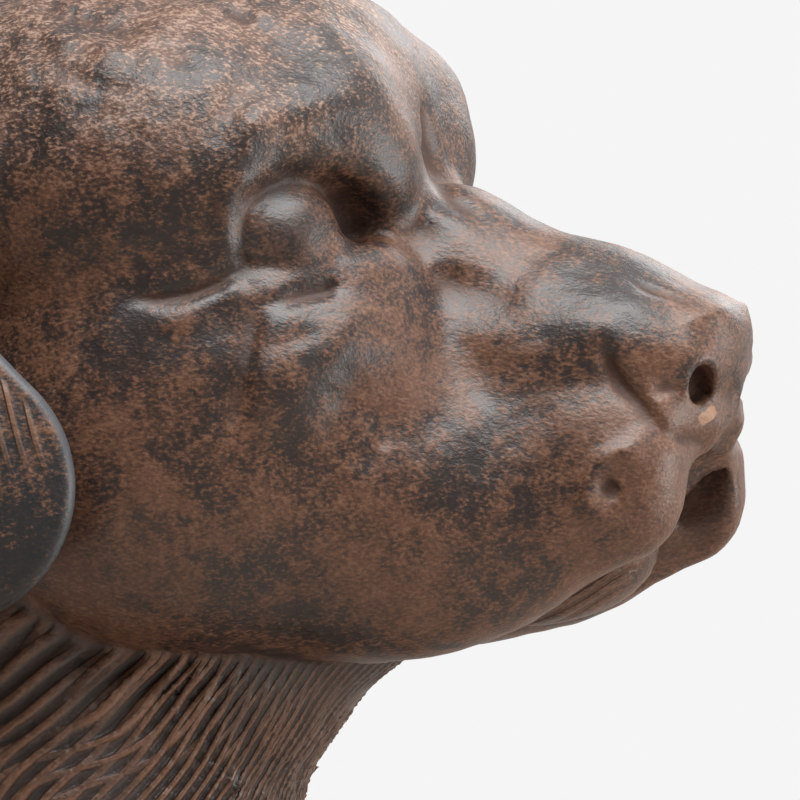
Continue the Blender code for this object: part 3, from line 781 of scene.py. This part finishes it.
mesh = with_fewer_faces(form_mesh(drawn(SKIN_CELL)))
bm = bmesh.new()
bm.from_mesh(mesh)
bmesh.ops.transform(bm, matrix=Matrix.Translation((BASE_BEHIND_NOSE, 0, -CUT_LEVEL)), verts=bm.verts)
bmesh.ops.scale(bm, vec=Vector((UNIT, UNIT, UNIT)), verts=bm.verts)
cut = bmesh.ops.bisect_plane(
    bm, geom=bm.verts[:] + bm.edges[:] + bm.faces[:], plane_co=(0, 0, 0), plane_no=(0, 0, -1),
    clear_outer=True,
)
bmesh.ops.edgeloop_fill(bm, edges=[e for e in cut["geom_cut"] if isinstance(e, bmesh.types.BMEdge)])
bmesh.ops.recalc_face_normals(bm, faces=bm.faces)
bm.to_mesh(mesh)
bm.free()
mesh.name = "rusted_bust"
mesh.shade_smooth()

# What the patina follows, kept on the mesh: where each place lies among the strands, ribs and grooves, and
# how much it belongs to the neck, the ears, the hollows and so on, and where shade is painted into the lip
# pockets
places = np.zeros(len(mesh.vertices) * 3)
mesh.vertices.foreach_get("co", places)
places = not_hung(places.reshape(-1, 3) / UNIT - (BASE_BEHIND_NOSE, 0, -CUT_LEVEL))
left = to_the_left(places)
(first_strand, first_height), (second_strand, second_height) = strands(left)
on_neck = np.clip(1 - np.abs(neck(left) - neck_coat(left)) / 1.5, 0, 1)
ear_inward, ear_down, ear_forward, ear_out = ear_place(left)
on_ear = np.clip(1.6 - np.abs(thin_ear(ear_inward, ear_out)) / 1.2, 0, 1)
groove, groove_depth = chin_grooves(left)
for name, values in {
    "first strand": first_strand, "first height": first_height * on_neck,
    "second strand": second_strand, "second height": second_height * on_neck,
    "neck": on_neck, "ear": on_ear, "ear inward": ear_inward, "ear down": ear_down,
    "ear rib": ear_ribs(left, ear_down, ear_forward),
    "hollow": bend(places, HOLLOW_REACH), "crest": bend(places, CREST_REACH),
    "groove": groove, "groove depth": groove_depth,
    "eye": glow(left, EYE_PLACE, EYE_REACH),
    # The lip pockets' surface, where shade is painted
    "pocket_shade": np.clip(1.5 - np.abs(mass(left, *LIP_POCKET)), 0, 1),
    "crown": eased((left[:, 2] - 28) / 30) * eased((-62 - left[:, 0]) / 30),
    "wear": sum(share * glow(left, centre, reach) for centre, reach, share in WEAR),
    "scrape": fold(places * (1, -1, 1), SCRAPE, SCRAPE_WIDTH, 1, 0.5),
}.items():
    mesh.attributes.new(name, "FLOAT", "POINT").data.foreach_set("value", values.astype(np.float32))

bust = bpy.data.objects.new("rusted_bust", mesh)
bpy.context.collection.objects.link(bust)


class Field:
    """A value that varies over the surface. Arithmetic on it adds the Math nodes."""

    def __init__(self, paint, socket):
        self.paint, self.socket = paint, socket

    def maths(self, operation, *values):
        """The Math node of that operation on the values."""
        return self.paint.add("Math", {"operation": operation}, dict(enumerate(values)))

    def __add__(self, other):
        return self.maths("ADD", self, other)

    def __sub__(self, other):
        return self.maths("SUBTRACT", self, other)

    def __rsub__(self, other):
        return self.maths("SUBTRACT", other, self)

    def __mul__(self, other):
        return self.maths("MULTIPLY", self, other)

    __radd__, __rmul__ = __add__, __mul__

    def most(self, other):
        """The greater of the two."""
        return self.maths("MAXIMUM", self, other)

    def rise(self, low, high):
        """0 below low, 1 above high, and a smooth climb between them."""
        return self.paint.add("MapRange", {"interpolation_type": "SMOOTHSTEP"}, {
            "Value": self, "From Min": low, "From Max": high,
        })

    def at_whole(self, half, soft):
        """1 at each whole number, and 0 from half away from it, with a climb of soft between them."""
        return (half - self.maths("ABSOLUTE", self - self.maths("ROUND", self))).rise(0, soft)


class Paint:
    """A material's nodes."""

    def __init__(self, name):
        self.material = bpy.data.materials.new(name)
        self.material.use_nodes = True
        self.tree = self.material.node_tree
        self.shader = self.tree.nodes["Principled BSDF"]

    def put(self, socket, value):
        """Fills a socket with a number or colour, or links a field to it."""
        if isinstance(value, Field):
            self.tree.links.new(value.socket, socket)
        else:
            socket.default_value = value

    def add(self, kind, settings=(), sockets=(), result=0):
        """One result of a node of that kind, whose settings are made before its sockets are filled."""
        node = self.tree.nodes.new("ShaderNode" + kind)
        for name, value in dict(settings).items():
            setattr(node, name, value)
        for name, value in dict(sockets).items():
            self.put(node.inputs[name], value)
        return Field(self, node.outputs[result])

    def noise(self, place, size, detail=2, roughness=0.5, distortion=0.0):
        """Cloudy values round a half, whose clouds are about the given size in metres."""
        return self.add("TexNoise", {}, {
            "Vector": place, "Scale": 1 / size,
            "Detail": detail, "Roughness": roughness, "Distortion": distortion,
        })

    def stored(self, name):
        """The value that the mesh keeps under that name."""
        return self.add("Attribute", {"attribute_name": name}, {}, "Fac")

    def blend(self, share, under, over):
        """Colour under, with that share of colour over on it."""
        return self.add("MixRGB", {}, {"Fac": share, "Color1": under, "Color2": over})


# Colours of the patina: the bare casting, on the head, on the ears and between the strands, then rust of four
# depths, the bare scrape, and the ears' rubbed edge. The deepest rust is also painted shade in hollows and
# grooves, and the ears' slate is also painted shade in the lip pockets
SLATE = (0.017, 0.012, 0.011, 1)
COLD_SLATE = (0.011, 0.011, 0.012, 1)
VALLEY = (0.016, 0.012, 0.011, 1)
DEEP_RUST_AND_SHADE = (0.040, 0.016, 0.009, 1)
RUST = (0.076, 0.033, 0.018, 1)
PALE_RUST = (0.145, 0.071, 0.041, 1)
TAN = (0.26, 0.175, 0.13, 1)
BARE_TAN = (0.23, 0.12, 0.065, 1)
BARE_EDGE = (0.052, 0.055, 0.062, 1)

# Sizes of the patina's clouds, patches, frayed edges and speckle, in metres
CLOUD, PATCH, FRAY, SPECKLE = 0.050, 0.014, 0.0035, 0.0007
# Heights of the fine relief, in metres
SPECKLE_HEIGHT, FRAY_HEIGHT, CROWN_HEIGHT, PATCH_HEIGHT = 0.00012, 0.00020, 0.0003, 0.0004
STRAND_BEAD, GROOVE_DIP = 0.0005, 0.0003

iron = Paint("rusted iron")
place = iron.add("TexCoord", {}, {}, "Object")
# The speckle is drawn out along the lie of the coat, back and down
combed = iron.add("Mapping", {}, {"Vector": place, "Rotation": (0, 0.5, 0), "Scale": (0.55, 1, 1)})
clouds = iron.noise(place, CLOUD, 2)
patches = iron.noise(place, PATCH, 3, 0.6, 0.4)
edges = iron.noise(place, FRAY, 3, 0.6)
speckle = iron.noise(combed, SPECKLE, 2, 0.6)
crest, sunk = iron.stored("crest"), (0 - iron.stored("hollow")).rise(0.02, 0.25)
neck_share, ear_share = iron.stored("neck"), iron.stored("ear")
inward, down = iron.stored("ear inward"), iron.stored("ear down")
crown, eye, pocket_shade = iron.stored("crown"), iron.stored("eye"), iron.stored("pocket_shade")
wear, scrape = iron.stored("wear"), iron.stored("scrape")

chin_groove = iron.stored("groove").at_whole(0.30, 0.20) * iron.stored("groove depth")
first = iron.stored("first strand").at_whole(0.30, 0.16) * iron.stored("first height")
second = iron.stored("second strand").at_whole(0.24, 0.14) * iron.stored("second height")
rib = iron.stored("ear rib").at_whole(0.24, 0.14) * (RIB_END - down).rise(0, 24) * inward.rise(2, 4)
strand = first.most(second).most(rib * ear_share)

# Rust lies in soft patches, frayed by the grain of the cast coat. There is less of it on what stands out, and
# on the lower ends of the ears
spread = patches * 0.7 + clouds * 0.3 + edges * 0.5 + speckle * 0.7 - crest * 0.25 + wear
rusted = (spread - ear_share * down.rise(60, 95) * 0.25).rise(0.92, 1.22)
colour = iron.blend(rusted, iron.blend(ear_share, SLATE, COLD_SLATE), RUST)
grain = edges * 0.5 + speckle * 1.3 + patches * 0.3 + wear * 0.6
colour = iron.blend(grain.rise(1.0, 1.5) * (rusted * 0.8 + 0.2), colour, PALE_RUST)
colour = iron.blend(grain.rise(1.04, 1.26) * crown * 0.55, colour, TAN)
# Hollows get the deepest rust, which also stands in for the shade that gathers in them: partly painted shade
colour = iron.blend(sunk * 0.8, colour, DEEP_RUST_AND_SHADE)
# The chin's grooves get the same deep colour, partly rust and partly painted shade
colour = iron.blend(chin_groove * 0.7, colour, DEEP_RUST_AND_SHADE)
# The eyeballs take the darker slate of their own iron, and the lip pockets get some of it as painted shade
colour = iron.blend(eye.most(pocket_shade * 0.4) * 0.85, colour, COLD_SLATE)
colour = iron.blend((scrape + edges * 0.6 - 0.3).rise(0.45, 0.62), colour, BARE_TAN)
colour = iron.blend(neck_share * (1 - strand).rise(0.2, 0.9) * 0.85, colour, VALLEY)
colour = iron.blend(strand * (speckle * 0.8 + 0.35 + ear_share * 0.2), colour, PALE_RUST)
colour = iron.blend(ear_share * (1.7 - down * 0.015 - inward).rise(0, 0.5) * 0.9, colour, BARE_EDGE)

# The wax leaves a soft gloss, duller where rust or dirt has gathered
roughness = 0.40 + rusted * 0.08 + crown * 0.06 + ear_share * 0.1 + sunk * 0.2
fine_relief = (
    speckle * SPECKLE_HEIGHT + edges * (FRAY_HEIGHT + crown * CROWN_HEIGHT) + patches * PATCH_HEIGHT
    + strand * STRAND_BEAD - chin_groove * GROOVE_DIP
)
iron.put(iron.shader.inputs["Base Color"], colour)
iron.put(iron.shader.inputs["Specular IOR Level"], 0.45)
iron.put(iron.shader.inputs["Roughness"], roughness)
iron.put(iron.shader.inputs["Normal"], iron.add("Bump", {}, {
    "Height": fine_relief, "Strength": 1.0, "Distance": 1.0,
}))
mesh.materials.clear()
mesh.materials.append(iron.material)

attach(bust, "root")
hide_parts("dog_bust")
